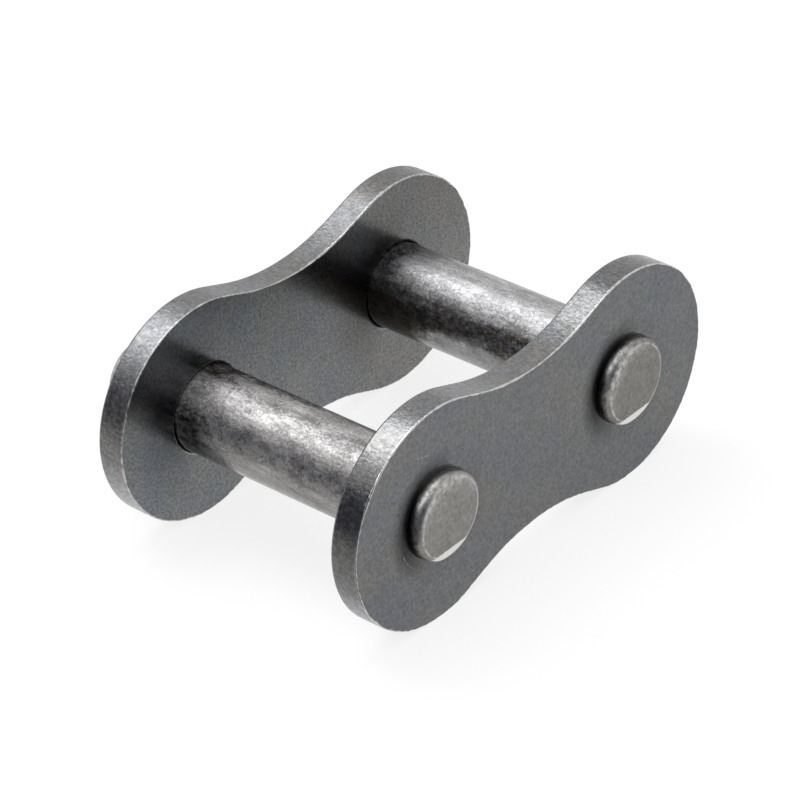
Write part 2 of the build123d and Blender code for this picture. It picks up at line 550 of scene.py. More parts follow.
def scuff_marks(tree, marks):
    """1 on the thin marks of a flat face, 0 elsewhere."""
    broken = rescale(tree, grain(tree, 0.35 * MM, detail=2, shift=5.0), 0.0, 1.0, 0.42, 0.58)
    total = 0.0
    for x, z, radius, middle, half, strength in marks:
        spoke, length = spoke_from(tree, x, z)
        off_centre = combine(tree, "ABSOLUTE", combine(tree, "SUBTRACT", length, radius * MM), 0.0)
        band = rescale(tree, off_centre, strength, 0.0, 0.02 * MM, 0.09 * MM)
        edge = math.cos(math.radians(half))
        cosine = cosine_to(tree, spoke, length, middle)
        span = rescale(tree, cosine, 0.0, 1.0, edge, edge + (1 - edge) * 0.3)
        total = combine(tree, "MAXIMUM", total, combine(tree, "MULTIPLY", band, span))
    return combine(tree, "MULTIPLY", total, broken)


print("scuffs on the pinned plate:", len(scuffs))

# %% [markdown]
# Painted shade darkens each plate's face where a pin leaves it, mostly on the upper left, with a
# painted reflection of the head or the pin in it. It takes away some of the colour near the pin,
# and how much follows from the same two measures.

# %% Painted shade round the pins
pin_places = (-15.875, 15.875)     # along X, in millimetres
painted_shade_side = 158                  # direction from a pin in which the painted shade lies deepest


def painted_shade_round_pins(tree, full, reach, depth):
    """What the painted shade round the pins leaves of the colour; deepest up to full, gone at
    reach.
    """
    deepest_shade = 0.0
    for x in pin_places:
        spoke, length = spoke_from(tree, x, 0.0)
        near = rescale(tree, length, 1.0, 0.0, full * MM, reach * MM)
        side = rescale(tree, cosine_to(tree, spoke, length, painted_shade_side), 0.12, 1.0, 0.0, 0.75)
        deepest_shade = combine(tree, "MAXIMUM", deepest_shade, combine(tree, "MULTIPLY", near, side))
    return rescale(tree, deepest_shade, 1.0, 1.0 - depth, 0.0, 1.0)


print("grease at", pin_places, "mm")

# %% [markdown]
# ## Plate faces
# The flat faces are almost smooth. Their oxide changes slowly from left to right, as tempering
# colours do, and painted shade round the pins and the scuffs lie over it. Both plates use the
# same function. The loose plate has more speckle, more brown on its right, and no scuffs.

# %% Plate faces
def face_metal(name, left_tones, right_tones, speckle, fade, pin_shade, marks):
    """Oxidised flat face; its tones change from left to right, and its depth from low to high."""

    def colour(tree):
        """Oxide, painted shade round the pins over it, and bright metal where the face is rubbed or
        scratched.
        """
        place = add_node(tree, "ShaderNodeTexCoord").outputs["Object"]
        axes = add_node(tree, "ShaderNodeSeparateXYZ", {"Vector": place}).outputs
        right = rescale(tree, axes["X"], 0.0, 1.0, -16 * MM, 22 * MM)
        first = mix_colour(tree, right, left_tones[0], right_tones[0])
        second = mix_colour(tree, right, left_tones[1], right_tones[1])
        film = oxide(tree, first, second, 1 - speckle, 1 + speckle)
        film = shaded(tree, film, rescale(tree, axes["Z"], *fade, -5 * MM, 9 * MM))
        # Painted shade and painted reflection: the face is darkened round each pin, mostly on its
        # upper left.
        film = shaded(tree, film, painted_shade_round_pins(tree, *pin_shade))
        rubbed = worn(tree)
        if marks:
            scratches = combine(tree, "MULTIPLY", scuff_marks(tree, marks), 0.35)
            rubbed = combine(tree, "MAXIMUM", rubbed, scratches)
        return mix_colour(tree, rubbed, film, bright_steel)

    return metal(
        name,
        colour,
        lambda tree: rescale(tree, grain(tree, 0.4 * MM), 0.18, 0.26, 0.3, 0.7),
        lambda tree: [
            (grain(tree, 0.32 * MM, detail=3, shift=3.0), 0.003 * MM),
            (grain(tree, 3.0 * MM), 0.02 * MM),
        ],
    )


fixed_face = face_metal(
    "blued_pinned_plate",
    ((0.134, 0.142, 0.158), (0.162, 0.158, 0.150)),
    ((0.117, 0.126, 0.139), (0.148, 0.146, 0.140)),
    speckle=0.29,
    fade=(0.98, 1.0),
    pin_shade=(6.1, 8.1, 0.84),
    marks=scuffs,
)
loose_face = face_metal(
    "blued_loose_plate",
    ((0.130, 0.146, 0.166), (0.162, 0.160, 0.154)),
    ((0.142, 0.150, 0.156), (0.184, 0.174, 0.162)),
    speckle=0.41,
    fade=(1.15, 0.80),
    pin_shade=(5.5, 12.0, 0.55),
    marks=(),
)

# %% [markdown]
# ## Points along arcs and lines
# The outlines below are made of arcs and straight lines, so two helpers walk along them in
# steps of a wanted length. Each leaves its last point to the piece that follows, so that no
# point comes twice.

# %% Arcs and lines
def arc(centre, radius, start, end, step):
    """Points along an arc, without its last one; angles in radians."""
    count = max(2, math.ceil(abs(radius * (end - start)) / step))
    angles = [start + (end - start) * index / count for index in range(count)]
    return [centre + Vector((math.cos(angle), math.sin(angle))) * radius for angle in angles]


def straight(start, end, step):
    """Points from start towards end, without the end itself."""
    count = max(2, math.ceil((end - start).length / step))
    return [start.lerp(end, index / count) for index in range(count)]


print("points on a test arc:", len(arc(Vector((0, 0)), 5 * MM, 0, math.pi, 1 * MM)))

# %% [markdown]
# ## Outline of a plate
# Seen from the side a plate is a bone: two round ends, a hollow waist above and below, and a
# short straight flank between them. One quarter is worked out from four sizes, as the plate's
# designer would draw it, and the other quarters are its mirror images. The points carry their
# outward direction, which the next step needs to round the edges.

# %% Bone outline
def quarter_bone(end_radius, end_x, waist_half, flank, step, start=0.0):
    """Upper right quarter of a bone, from an angle on its round end to the middle of the waist."""
    reach = end_x**2 + waist_half**2 - end_radius**2 - flank**2
    hollow_radius = reach / (2 * (end_radius - waist_half))
    hollow = Vector((0, waist_half + hollow_radius))
    centre = Vector((end_x, 0))
    leave = math.atan2(hollow.y, -end_x) - math.atan2(flank, end_radius + hollow_radius)
    outward = Vector((math.cos(leave), math.sin(leave)))
    points = arc(centre, end_radius, start, leave, step)
    points += straight(centre + outward * end_radius, hollow - outward * hollow_radius, step)
    points += arc(hollow, -hollow_radius, leave, math.pi / 2, step)
    return points + [Vector((0, waist_half))]


def mirrored_x(points):
    """Mirror image from right to left, in reverse order, so that an outline runs on."""
    return [Vector((-point.x, point.y)) for point in reversed(points)]


def mirrored_y(points):
    """Mirror image from top to bottom, in reverse order."""
    return [Vector((point.x, -point.y)) for point in reversed(points)]


def with_normals(points):
    """Each point of a closed outline that runs anticlockwise, with its outward direction."""
    outline = []
    for index, point in enumerate(points):
        along = points[(index + 1) % len(points)] - points[index - 1]
        outline.append((point, Vector((along.y, -along.x)).normalized()))
    return outline


def circle_outline(x, radius, count):
    """Closed circle centred on (x, 0)."""
    return with_normals(arc(Vector((x, 0)), radius, 0, 2 * math.pi, 2 * math.pi * radius / count))


print("helpers:", quarter_bone.__name__, with_normals.__name__, circle_outline.__name__)

# %% [markdown]
# ## Rings of vertices
# A plate could be made by extruding its outline and adding a bevel modifier. We make the mesh
# ring by ring instead: each ring is the outline moved inwards by some amount at some height
# along Y. That gives full control over the edge, which is different on the two sides, and lets
# us paint on every ring how much it is rubbed. The flat faces are filled at the end.

# %% Rings
import bmesh


def new_mesh():
    """Empty mesh whose vertices carry a number for wear."""
    mesh = bmesh.new()
    mesh.verts.layers.float.new("worn")
    return mesh


def add_vertex(mesh, place, wear=0.0):
    """New vertex with its number for wear."""
    vertex = mesh.verts.new(place)
    vertex[mesh.verts.layers.float["worn"]] = wear
    return vertex


def join_rings(mesh, rings, finishes):
    """Quads between neighbouring rings; one finish for each band."""
    for low, high, finish in zip(rings, rings[1:], finishes):
        for index in range(len(low)):
            after = (index + 1) % len(low)
            face = mesh.faces.new((low[index], low[after], high[after], high[index]))
            face.material_index = finish


def outline_rings(mesh, outline, rows):
    """Rings for rows of (inset, y, wear, finish of the band below); an inset or y may be a list."""
    rings = []
    for inset, y, wear, _ in rows:
        ring = []
        for index, (point, normal) in enumerate(outline):
            spot = point - normal * (inset[index] if isinstance(inset, list) else inset)
            height = y[index] if isinstance(y, list) else y
            ring.append(add_vertex(mesh, (spot.x, height, spot.y), wear))
        rings.append(ring)
    join_rings(mesh, rings, [row[3] for row in rows[1:]])
    return rings


print("helpers:", new_mesh.__name__, join_rings.__name__, outline_rings.__name__)

# %% [markdown]
# A flat face with holes in it is filled between its rings in one go. After that the mesh
# becomes a piece: it gets its materials, smooth shading that stays sharp at real edges and the
# body that it rides on, and the node of the frame that it stands for is hidden.

# %% Fill and finish
sharp_angle = math.radians(32)     # two faces that meet at more than this stay sharp


def fill_flat(mesh, loops, finish):
    """Flat face between an outer ring and its holes."""
    edges = []
    for ring in loops:
        for index, vertex in enumerate(ring):
            after = ring[(index + 1) % len(ring)]
            edges.append(mesh.edges.get((vertex, after)))
    made = bmesh.ops.triangle_fill(mesh, use_beauty=True, use_dissolve=False, edges=edges)
    for item in made["geom"]:
        if isinstance(item, bmesh.types.BMFace):
            item.material_index = finish


def finish_piece(name, mesh, materials, body, node):
    """Turns the built mesh into a piece that rides on its body and stands for its CAD node."""
    bmesh.ops.recalc_face_normals(mesh, faces=mesh.faces)
    data = bpy.data.meshes.new(name)
    mesh.to_mesh(data)
    mesh.free()
    for material in materials:
        data.materials.append(material)
    data.shade_smooth()
    data.set_sharp_from_angle(angle=sharp_angle)
    piece = bpy.data.objects.new(name, data)
    bpy.context.scene.collection.objects.link(piece)
    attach(piece, body)
    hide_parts(node)
    print(name, "has", len(data.vertices), "vertices and", len(data.polygons), "faces")
    return piece


print("edges stay sharp above", round(math.degrees(sharp_angle)), "degrees")

# %% [markdown]
# ## Sizes of the plates
# The sizes that the frame can give are read from it, and the others are the designer's own.
# The outline is made once and serves both plates.

# %% Plate sizes
plate_low, plate_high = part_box("fixed_plate")
loose_low, loose_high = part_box("loose_plate")
pin_low, pin_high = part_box("right_pin")
lobe_radius = plate_high.z
lobe_x = plate_high.x - lobe_radius
pin_x = (pin_low.x + pin_high.x) / 2
pin_radius = (pin_high.x - pin_low.x) / 2
waist_half = 9.64 * MM
plate_flank = 3.4 * MM
outline_step = 0.15 * MM
print("round end", round(lobe_radius / MM, 3), "at", round(lobe_x / MM, 3), "mm")
print("pin", round(pin_radius / MM, 3), "at", round(pin_x / MM, 3), "mm")

plate_quarter = quarter_bone(lobe_radius, lobe_x, waist_half, plate_flank, outline_step)
plate_top = plate_quarter + mirrored_x(plate_quarter)[1:]
plate_outline = with_normals(plate_top + mirrored_y(plate_top)[1:-1])
print("points round a plate:", len(plate_outline))

# %% [markdown]
# ## The edge of a plate
# Blanking rolls one side of a plate over and raises a burr on the other. Tumbling rubs that
# burr down to a thin bright line that wanders along the rim, so its width gets a noise of its
# own. The rows below go from the burr side to the rolled side, and each of them says how far
# the outline is moved inwards, at which height, and how much it is rubbed there.

# %% Plate edge
die_roll = 0.42 * MM
burr_width = 0.12 * MM
support = 0.05 * MM            # narrow flat band that keeps a rounding's shading off a face


def wandering_burr(seed):
    """Width of the rubbed burr at each point of the outline."""
    widths = []
    for point, _ in plate_outline:
        slow = noise.noise(Vector((point.x, point.y, seed)) / (2.2 * MM))
        quick = noise.noise(Vector((point.x, point.y, 5 * MM + seed)) / (0.55 * MM))
        widths.append(burr_width * max(0.25, 1 + 0.7 * slow + 0.75 * quick))
    return widths


def edge_rows(low_y, high_y):
    """Rows of a plate's rim: burr at -Y, straight cut, and the rolled edge at +Y."""
    burr = wandering_burr(low_y)
    cut_start = [low_y + width + support for width in burr]
    cut_end = high_y - die_roll
    rows = [([width + support for width in burr], low_y, 0.0, 0), (burr, low_y, 1.0, 0)]
    for index in range(1, 4):
        angle = math.pi / 2 * index / 3
        inset = [width * (1 - math.sin(angle)) for width in burr]
        rows.append((inset, [low_y + width * (1 - math.cos(angle)) for width in burr], 1.0, 1))
    for index in range(7):
        share = index / 6
        rows.append((0.0, [start * (1 - share) + cut_end * share for start in cut_start], 0.0, 1))
    for index in range(1, 9):
        angle = math.pi / 2 * index / 8
        inset = die_roll * (1 - math.cos(angle))
        rows.append((inset, cut_end + die_roll * math.sin(angle), 0.0, 1))
    rows.append((die_roll + support, high_y, 0.0, 0))
    return rows


burr_widths = wandering_burr(plate_low.y)
print("burr from", round(min(burr_widths) / MM, 3), "to", round(max(burr_widths) / MM, 3), "mm")

# %% [markdown]
# ## The two plates
# The holes go in as rings too, through the plate from face to face. Those of the pinned plate
# close tightly round the pins, and those of the loose plate have a broken edge and some play.
# Cutting them with a boolean would also work, but it would leave long thin faces all over the
# flat side. The face between the outline and the holes is filled on both sides.

# %% Plates
hole_points = 160


def hole_rows(low_y, high_y, hole_break):
    """Rows of a hole with a broken edge at both ends; a hole widens towards the faces."""
    slope = hole_break * 0.3
    return [
        (-hole_break - support, low_y, 0.0, 0),
        (-hole_break, low_y, 0.0, 0),
        (-slope, low_y + slope, 0.0, 1),
        (0.0, low_y + hole_break, 0.0, 1),
        (0.0, high_y - hole_break, 0.0, 1),
        (-slope, high_y - slope, 0.0, 1),
        (-hole_break, high_y, 0.0, 1),
        (-hole_break - support, high_y, 0.0, 0),
    ]


def plate_piece(name, node, body, metals, low_y, high_y, hole_radius, hole_break):
    """Plate with its burr line at -Y, its rolled edge at +Y and two holes."""
    mesh = new_mesh()
    rings = outline_rings(mesh, plate_outline, edge_rows(low_y, high_y))
    low_loops, high_loops = [rings[0]], [rings[-1]]
    for side in (-1, 1):
        hole = circle_outline(side * pin_x, hole_radius, hole_points)
        rings = outline_rings(mesh, hole, hole_rows(low_y, high_y, hole_break))
        low_loops.append(rings[0])
        high_loops.append(rings[-1])
    fill_flat(mesh, low_loops, 0)
    fill_flat(mesh, high_loops, 0)
    return finish_piece(name, mesh, metals, body, node)


plate_piece(
    "fixed_plate_steel",
    "fixed_plate",
    "pinned_half",
    [fixed_face, fixed_edge],
    plate_low.y,
    plate_high.y,
    hole_radius=pin_radius + 0.01 * MM,
    hole_break=0.03 * MM,
)
plate_piece(
    "loose_plate_steel",
    "loose_plate",
    "loose_half",
    [loose_face, loose_edge],
    loose_low.y,
    loose_high.y,
    hole_radius=pin_radius + 0.08 * MM,
    hole_break=0.30 * MM,
)

# %% [markdown]
# ## Stains and painted reflections on the pins
# The pins are ground bar, brighter and warmer than the plates, with stains from grey to brown,
# mostly where a pin enters the loose plate. Some of the listed stains are painted reflections: a
# dark band on the top of the left pin stands for the right pin's reflection, and the dark lower
# sides next to the loose plate stand for that plate's reflection, with some real stain in them. A
# stain is a place first and a texture second: we say how dense it is along and round the pin, and
# later let a noise decide where inside that zone it breaks through. Angles run round the pin from
# +X towards +Z.

# %% Pin colours and stains
warm_steel = (0.366, 0.355, 0.348)
cool_steel = (0.352, 0.350, 0.354)
pitted_steel = (0.130, 0.122, 0.124)
brown_stain = (0.098, 0.079, 0.051)
grey_stain = (0.034, 0.035, 0.040)

# Each stain: middle angle round the pin, half angles where it starts and where it is full,
# the heights along Y where it starts and is full, its density, and how brown it is.
left_stains_and_painted_reflection = (
    (72, 38, 20, 4.5, 12.0, 0.58, 1.0),
    # Painted reflection of the right pin: a dark band on the top.
    (64, 22, 8, -5.0, 1.0, 0.52, 0.4),
    # Painted reflection of the loose plate on the lower side, with some real stain.
    (184, 66, 34, 2.0, 12.0, 0.52, 0.6),
    (160, 26, 8, -16.0, -8.0, 0.38, 0.3),
)
right_stains_and_painted_reflection = (
    (78, 80, 50, 8.0, 13.0, 0.55, 0.0),
    # Painted reflection of the loose plate on the lower side, with some real stain.
    (208, 60, 42, 5.0, 10.0, 0.92, 0.6),
    (188, 30, 16, 0.0, 7.0, 0.62, 0.9),
    (160, 32, 16, -16.0, -12.0, 0.53, 0.7),
)
print("stains:", len(left_stains_and_painted_reflection), "on the left pin,", len(right_stains_and_painted_reflection), "on the right one")

# %% [markdown]
# ## Places on a pin
# Three helpers say where a point of a pin lies: its three coordinates, how far it faces a given
# direction, and whether it is on the tail behind the loose plate. A fourth one turns a density
# and a noise into spots, which grow and join as the density rises.

# %% Places on a pin
def object_axes(tree):
    """The object's own X, Y and Z as three sockets."""
    place = add_node(tree, "ShaderNodeTexCoord").outputs["Object"]
    return add_node(tree, "ShaderNodeSeparateXYZ", {"Vector": place}).outputs


def facing(tree, axis_x, angle):
    """Cosine of the angle between a point's place round the pin and the given one."""
    place = add_node(tree, "ShaderNodeTexCoord").outputs["Object"]
    spoke = add_node(tree, "ShaderNodeVectorMath", operation="SUBTRACT")
    tree.links.new(place, spoke.inputs[0])
    spoke.inputs[1].default_value = (axis_x, 0, 0)
    towards = add_node(tree, "ShaderNodeVectorMath", operation="DOT_PRODUCT")
    tree.links.new(spoke.outputs["Vector"], towards.inputs[0])
    turned = math.radians(angle)
    towards.inputs[1].default_value = (math.cos(turned), 0, math.sin(turned))
    return combine(tree, "DIVIDE", towards.outputs["Value"], pin_radius)


def break_through(tree, density, pattern, soft=0.12):
    """1 where the pattern rises above what the density leaves free, softened over a band."""
    level = combine(tree, "ADD", pattern, density)
    return rescale(tree, level, 0.0, 1.0, 1.0 - soft, 1.0 + soft)


def tail_only(tree):
    """0 between the plates, 1 on the tail."""
    return rescale(tree, object_axes(tree)["Y"], 0.0, 1.0, loose_low.y, loose_high.y)


print("tails from", round(loose_high.y / MM, 2), "to", round(pin_high.y / MM, 2), "mm")

# %% [markdown]
# A stain is full in the middle of its zone, and fades out round the pin and towards its head.
# On the tail it is weaker, since the tail is dark anyway.

# %% Stain helpers
def stain_on(tree, axis_x, stain):
    """1 where this stain covers the steel."""
    middle, starts, full, y_starts, y_full, density = stain[:6]
    low, high = math.cos(math.radians(starts)), math.cos(math.radians(full))
    around = rescale(tree, facing(tree, axis_x, middle), 0.0, density, low, high)
    along = rescale(tree, object_axes(tree)["Y"], 0.0, 1.0, y_starts * MM, y_full * MM)
    along = combine(tree, "MULTIPLY", along, rescale(tree, tail_only(tree), 1.0, 0.70))
    pattern = grain(tree, 0.75 * MM, detail=6, stretch=(1, 1.5, 1), fine=0.78)
    return break_through(tree, combine(tree, "MULTIPLY", around, along), pattern, 0.10)


def stain_colour(tree, brown):
    """Stain that wanders from grey towards brown within a millimetre."""
    drift = grain(tree, 0.6 * MM, detail=5, stretch=(1, 2, 1), shift=5.0, fine=0.74)
    return mix_colour(tree, rescale(tree, drift, 0.0, brown, 0.42, 0.58), grey_stain, brown_stain)


print("helpers:", stain_on.__name__, stain_colour.__name__)

# %% [markdown]
# ## Rubbed sides, painted light, pits and streaks
# The lower left of a pin is polished, because the bush of the next link runs there. Other zones
# have fewer pits and are made brighter with painted light, which widens the highlights. The pits
# stand in clouds, and thin streaks run along the pin. These zones come first, because they
# decide how many pits are left.

# %% Pits and streaks
polished_angle = 215


def polished_side(tree, axis_x):
    """1 on the lower left of a pin, where the bush runs, 0 on the rest."""
    return rescale(tree, facing(tree, axis_x, polished_angle), 0.0, 1.0, 0.62, 0.90)


def calm_and_painted_light(tree, axis_x, rubbed):
    """How calm the surface is, from 0 to 1, and how much painted light brightens it over the rest.
    """
    calm = polished_side(tree, axis_x)
    painted_light_gains = rescale(tree, calm, 1.0, 0.90)
    for angle, starts, full, painted_gain, smooth in rubbed:
        low, high = math.cos(math.radians(starts)), math.cos(math.radians(full))
        rubbing_and_painted_light = rescale(tree, facing(tree, axis_x, angle), 0.0, 1.0, low, high)
        calm = combine(tree, "MAXIMUM", calm, combine(tree, "MULTIPLY", rubbing_and_painted_light, smooth))
        painted_light_gains = combine(tree, "MULTIPLY", painted_light_gains, rescale(tree, rubbing_and_painted_light, 1.0, painted_gain))
    return calm, painted_light_gains


def pits_and_streaks(tree, calm):
    """1 in a pit, less in a streak, 0 on clean steel."""
    clouds = grain(tree, 1.8 * MM, detail=4, stretch=(1, 2.0, 1), shift=4.0, fine=0.65)
    fine = grain(tree, 0.30 * MM, detail=3, stretch=(1, 1.2, 1), fine=0.62)
    pits = break_through(tree, rescale(tree, clouds, 0.32, 0.64, 0.38, 0.62), fine, 0.12)
    pits = combine(tree, "MULTIPLY", pits, rescale(tree, calm, 0.90, 0.40))
    streaks = grain(tree, 0.60 * MM, detail=5, stretch=(1, 5, 1), shift=9.0, fine=0.68, swirl=0.8)
    streaks = break_through(tree, 0.46, streaks, 0.10)
    return combine(tree, "MAXIMUM", pits, combine(tree, "MULTIPLY", streaks, 0.65))


def pin_tone(tree):
    """Brightness that drifts along the pin, with a fine grit in it."""
    drift = grain(tree, 1.3 * MM, detail=5, stretch=(1, 2.4, 1), fine=0.74)
    grit = grain(tree, 0.17 * MM, detail=2, stretch=(1, 1.3, 1), shift=11.0, fine=0.6)
    drift = rescale(tree, drift, 0.70, 1.18, 0.3, 0.7)
    return combine(tree, "MULTIPLY", drift, rescale(tree, grit, 0.76, 1.24, 0.3, 0.7))


print("polished at", polished_angle, "degrees round each pin")

# %% [markdown]
# ## Pin steel
# Now the layers are put on: steel with its pits, its drifting tone, and the stains over it.
# Towards the loose plate, painted light brightens the left pin and painted shade darkens the
# right one. The tails, which nothing runs on, stay darker and rougher. Each pin is rubbed,
# painted with light and stained in its own places, so it gets its own material.

# %% Pin steel
def pin_colour(tree, axis_x, clean_steel, rubbed, fade, stains_and_painted_reflection):
    """Pitted steel with painted light on some sides and along the pin, darker on the tail, with the
    stains and painted reflections over it.
    """
    calm, painted_light_gains = calm_and_painted_light(tree, axis_x, rubbed)
    steel = mix_colour(tree, pits_and_streaks(tree, calm), clean_steel, pitted_steel)
    # Painted light or painted shade along the pin, towards the loose plate.
    y_starts, y_full, near, far = fade
    along = rescale(tree, object_axes(tree)["Y"], near, far, y_starts * MM, y_full * MM)
    along = combine(tree, "MULTIPLY", along, rescale(tree, tail_only(tree), 1.0, 0.80))
    steel = shaded(tree, steel, combine(tree, "MULTIPLY", painted_light_gains, along))
    steel = shaded(tree, steel, pin_tone(tree))
    # Real stains, and the painted reflections listed with them.
    for stain in stains_and_painted_reflection:
        covered = stain_on(tree, axis_x, stain)
        steel = mix_colour(tree, covered, steel, stain_colour(tree, stain[-1]))
    return steel


def pin_gloss(tree, axis_x):
    """Roughness: the pitted side scatters more than the polished one."""
    wander = rescale(tree, grain(tree, 0.5 * MM), -0.06, 0.06, 0.3, 0.7)
    gloss = combine(tree, "ADD", wander, rescale(tree, polished_side(tree, axis_x), 0.47, 0.25))
    return combine(tree, "ADD", gloss, rescale(tree, tail_only(tree), 0.0, 0.20))


def pin_relief(tree, axis_x):
    """Heights and depths of the pits and the waviness of the surface."""
    strength = rescale(tree, polished_side(tree, axis_x), 1.0, 0.3)
    fine = combine(tree, "MULTIPLY", grain(tree, 0.36 * MM, detail=2), strength)
    coarse = combine(tree, "MULTIPLY", grain(tree, 0.6 * MM, detail=3, shift=3.0), tail_only(tree))
    return [(grain(tree, 0.9 * MM, detail=2), 0.020 * MM), (fine, 0.022 * MM), (coarse, 0.06 * MM)]


def pin_metal(name, axis_x, clean_steel, rubbed, fade, stains_and_painted_reflection):
    """Steel of one pin; fade gives two heights along Y and the painted light or shade at each."""
    return metal(
        name,
        lambda tree: pin_colour(tree, axis_x, clean_steel, rubbed, fade, stains_and_painted_reflection),
        lambda tree: pin_gloss(tree, axis_x),
        lambda tree: pin_relief(tree, axis_x),
    )


# Each rubbed zone: middle angle, half angles where it starts and where it is full, how much
# brighter its painted light makes it, and how calm it is, which leaves fewer pits.
left_rubbed_and_painted_light = ((138, 40, 10, 1.32, 0.3), (80, 16, 6, 1.32, 0.5))
right_rubbed_and_painted_light = ((80, 52, 26, 1.36, 0.75),)
# Painted light along the left pin and painted shade along the right one, towards the loose plate.
left_painted_light_along = (5, 14, 0.95, 1.5)
right_painted_shade_along = (6, 12, 0.95, 0.66)
left_steel = pin_metal("left_pin", -pin_x, warm_steel, left_rubbed_and_painted_light, left_painted_light_along, left_stains_and_painted_reflection)
right_steel = pin_metal("right_pin", pin_x, cool_steel, right_rubbed_and_painted_light, right_painted_shade_along, right_stains_and_painted_reflection)

# %% [markdown]
# ## Old oxide on a head, and painted shade in its corner
# The grinding wheel didn't reach the left side of a head, so brown oxide is left there, and
# painted shade darkens the corner between head and plate. Both depend on two things: how far a
# point lies behind the end of the pin, and which way round the pin it faces.

# %% Old oxide and painted corner shade
def painted_corner_shade(tree, axis_x, angle, starts, full):
    """1 where painted shade darkens the corner between head and plate, round the given angle."""
    y = object_axes(tree)["Y"]
    deep = rescale(tree, y, 0.0, 1.0, pin_low.y + starts * MM, pin_low.y + full * MM)
    deep = combine(tree, "MULTIPLY", deep, rescale(tree, y, 1.0, 0.0, plate_low.y, 0.0))
    around = rescale(tree, facing(tree, axis_x, angle), 0.0, 1.0, 0.15, 0.70)
    return combine(tree, "MULTIPLY", deep, around)


def old_oxide(tree, axis_x):
    """1 where brown oxide is left on the left side of a head, behind its rim."""
    y = object_axes(tree)["Y"]
    side = rescale(tree, facing(tree, axis_x, 182), 0.0, 0.56, 0.72, 0.94)
    behind = rescale(tree, y, 0.0, 1.0, pin_low.y + 0.10 * MM, pin_low.y + 0.45 * MM)
    behind = combine(tree, "MULTIPLY", behind, rescale(tree, y, 1.0, 0.4, 0.0, 10 * MM))
    pattern = grain(tree, 0.7 * MM, detail=5, shift=2.0, fine=0.65)
    return break_through(tree, combine(tree, "MULTIPLY", side, behind), pattern, 0.12)


print("a head stands out by", round((plate_low.y - pin_low.y) / MM, 2), "mm")

# %% [markdown]
# ## Ground ends
# The ends of the pins were ground after pressing, so they are an even warm grey. Bright metal
# shows on the rim and on a small bevel along the lower side. That bevel is ground last, so its
# colour goes on last, along a line that wavers a little.

# %% Ground ends
bevel_steel = (0.78, 0.775, 0.75)
bevel_line = -3.88 * MM        # height on the pin at which the bright bevel starts
bevel_fade = 0.10 * MM
bevel_waver = 0.12 * MM


def ground_steel(tree, tone):
    """Freshly ground end: a slow drift about its tone, and a speckle."""
    drift = rescale(tree, grain(tree, 2.2 * MM, detail=5, fine=0.65), 0.0, 1.0, 0.35, 0.65)
    light, dark = [tuple(part * share for part in tone) for share in (1.10, 0.90)]
    speckle = rescale(tree, grain(tree, 0.45 * MM, detail=4, fine=0.72), 0.72, 1.26, 0.3, 0.7)
    return shaded(tree, mix_colour(tree, drift, light, dark), speckle)


def on_bevel(tree):
    """1 on the bevel under a head, 0 elsewhere."""
    axes = object_axes(tree)
    waver = rescale(tree, grain(tree, 0.5 * MM, detail=3), -bevel_waver, bevel_waver)
    height = combine(tree, "ADD", axes["Z"], waver)
    below = rescale(tree, height, 0.95, 0.0, bevel_line - bevel_fade, bevel_line + bevel_fade)
    front = rescale(tree, axes["Y"], 1.0, 0.0, pin_low.y + 0.40 * MM, pin_low.y + 0.55 * MM)
    return combine(tree, "MULTIPLY", below, front)


def head_colour(tree, axis_x, tone, corner_shade):
    """Ground end, then old oxide, bright rubbed metal with painted highlights, painted shade in the
    corner, and the bevel.
    """
    steel = ground_steel(tree, tone)
    steel = mix_colour(tree, old_oxide(tree, axis_x), steel, stain_colour(tree, 0.9))
    painted = add_node(tree, "ShaderNodeAttribute", attribute_name="worn").outputs["Fac"]
    patches = grain(tree, 0.7 * MM, detail=4, shift=7.0, fine=0.72)
    # Bright metal: real wear on the rim, and painted highlights on the upper left and the crown.
    rubbed = combine(tree, "MULTIPLY", painted, rescale(tree, patches, 0.12, 1.0, 0.38, 0.56))
    steel = mix_colour(tree, rubbed, steel, bright_steel)
    # Painted shade: the corner between head and plate is darkened.
    clean = rescale(tree, painted_corner_shade(tree, axis_x, *corner_shade), 1.0, 0.22)
    return mix_colour(tree, on_bevel(tree), shaded(tree, steel, clean), bevel_steel)


def head_metal(name, axis_x, tone, corner_shade):
    """Finish of one head; the last argument places the painted corner shade: its angle, and where
    it starts and is full behind the end.
    """
    return metal(
        name,
        lambda tree: head_colour(tree, axis_x, tone, corner_shade),
        lambda tree: rescale(tree, grain(tree, 0.4 * MM), 0.30, 0.42, 0.3, 0.7),
        lambda tree: [(grain(tree, 0.45 * MM, detail=4, fine=0.70), 0.034 * MM)],
    )


# The last numbers place the painted shade in the corner of each head.
left_head = head_metal("left_head", -pin_x, (0.228, 0.222, 0.210), (196, 0.70, 1.20))
right_head = head_metal("right_head", pin_x, (0.186, 0.180, 0.168), (152, 0.45, 0.95))

# %% [markdown]
# ## Shank and tail
# A pin is a turned part, so its mesh is a profile swept round its axis. From the end of the
# head's rounding onwards every ring is a plain circle: shank, groove for the clip, chamfered
# tail, and its flat end. The list below is what a lathe would be given, a radius and a height
# for each step. Every corner is broken a little, because a sharp one would catch no light.

# %% Pin profile
centre_radius = 0.3 * MM       # innermost ring of a flat end
dressed_depth = 1.24 * MM      # depth of the rounding on the left side of a head
shank_start = pin_low.y + dressed_depth + 0.03 * MM
shank_steps = 36
end_bands = 8                  # rings across the flat end of the tail
tail_chamfer = 0.8 * MM
chamfer_break = 0.03 * MM
chamfer_support = 0.1 * MM
groove_radius = 4.0 * MM
groove_low = loose_high.y
groove_high = groove_low + 2.16 * MM
groove_break = 0.12 * MM


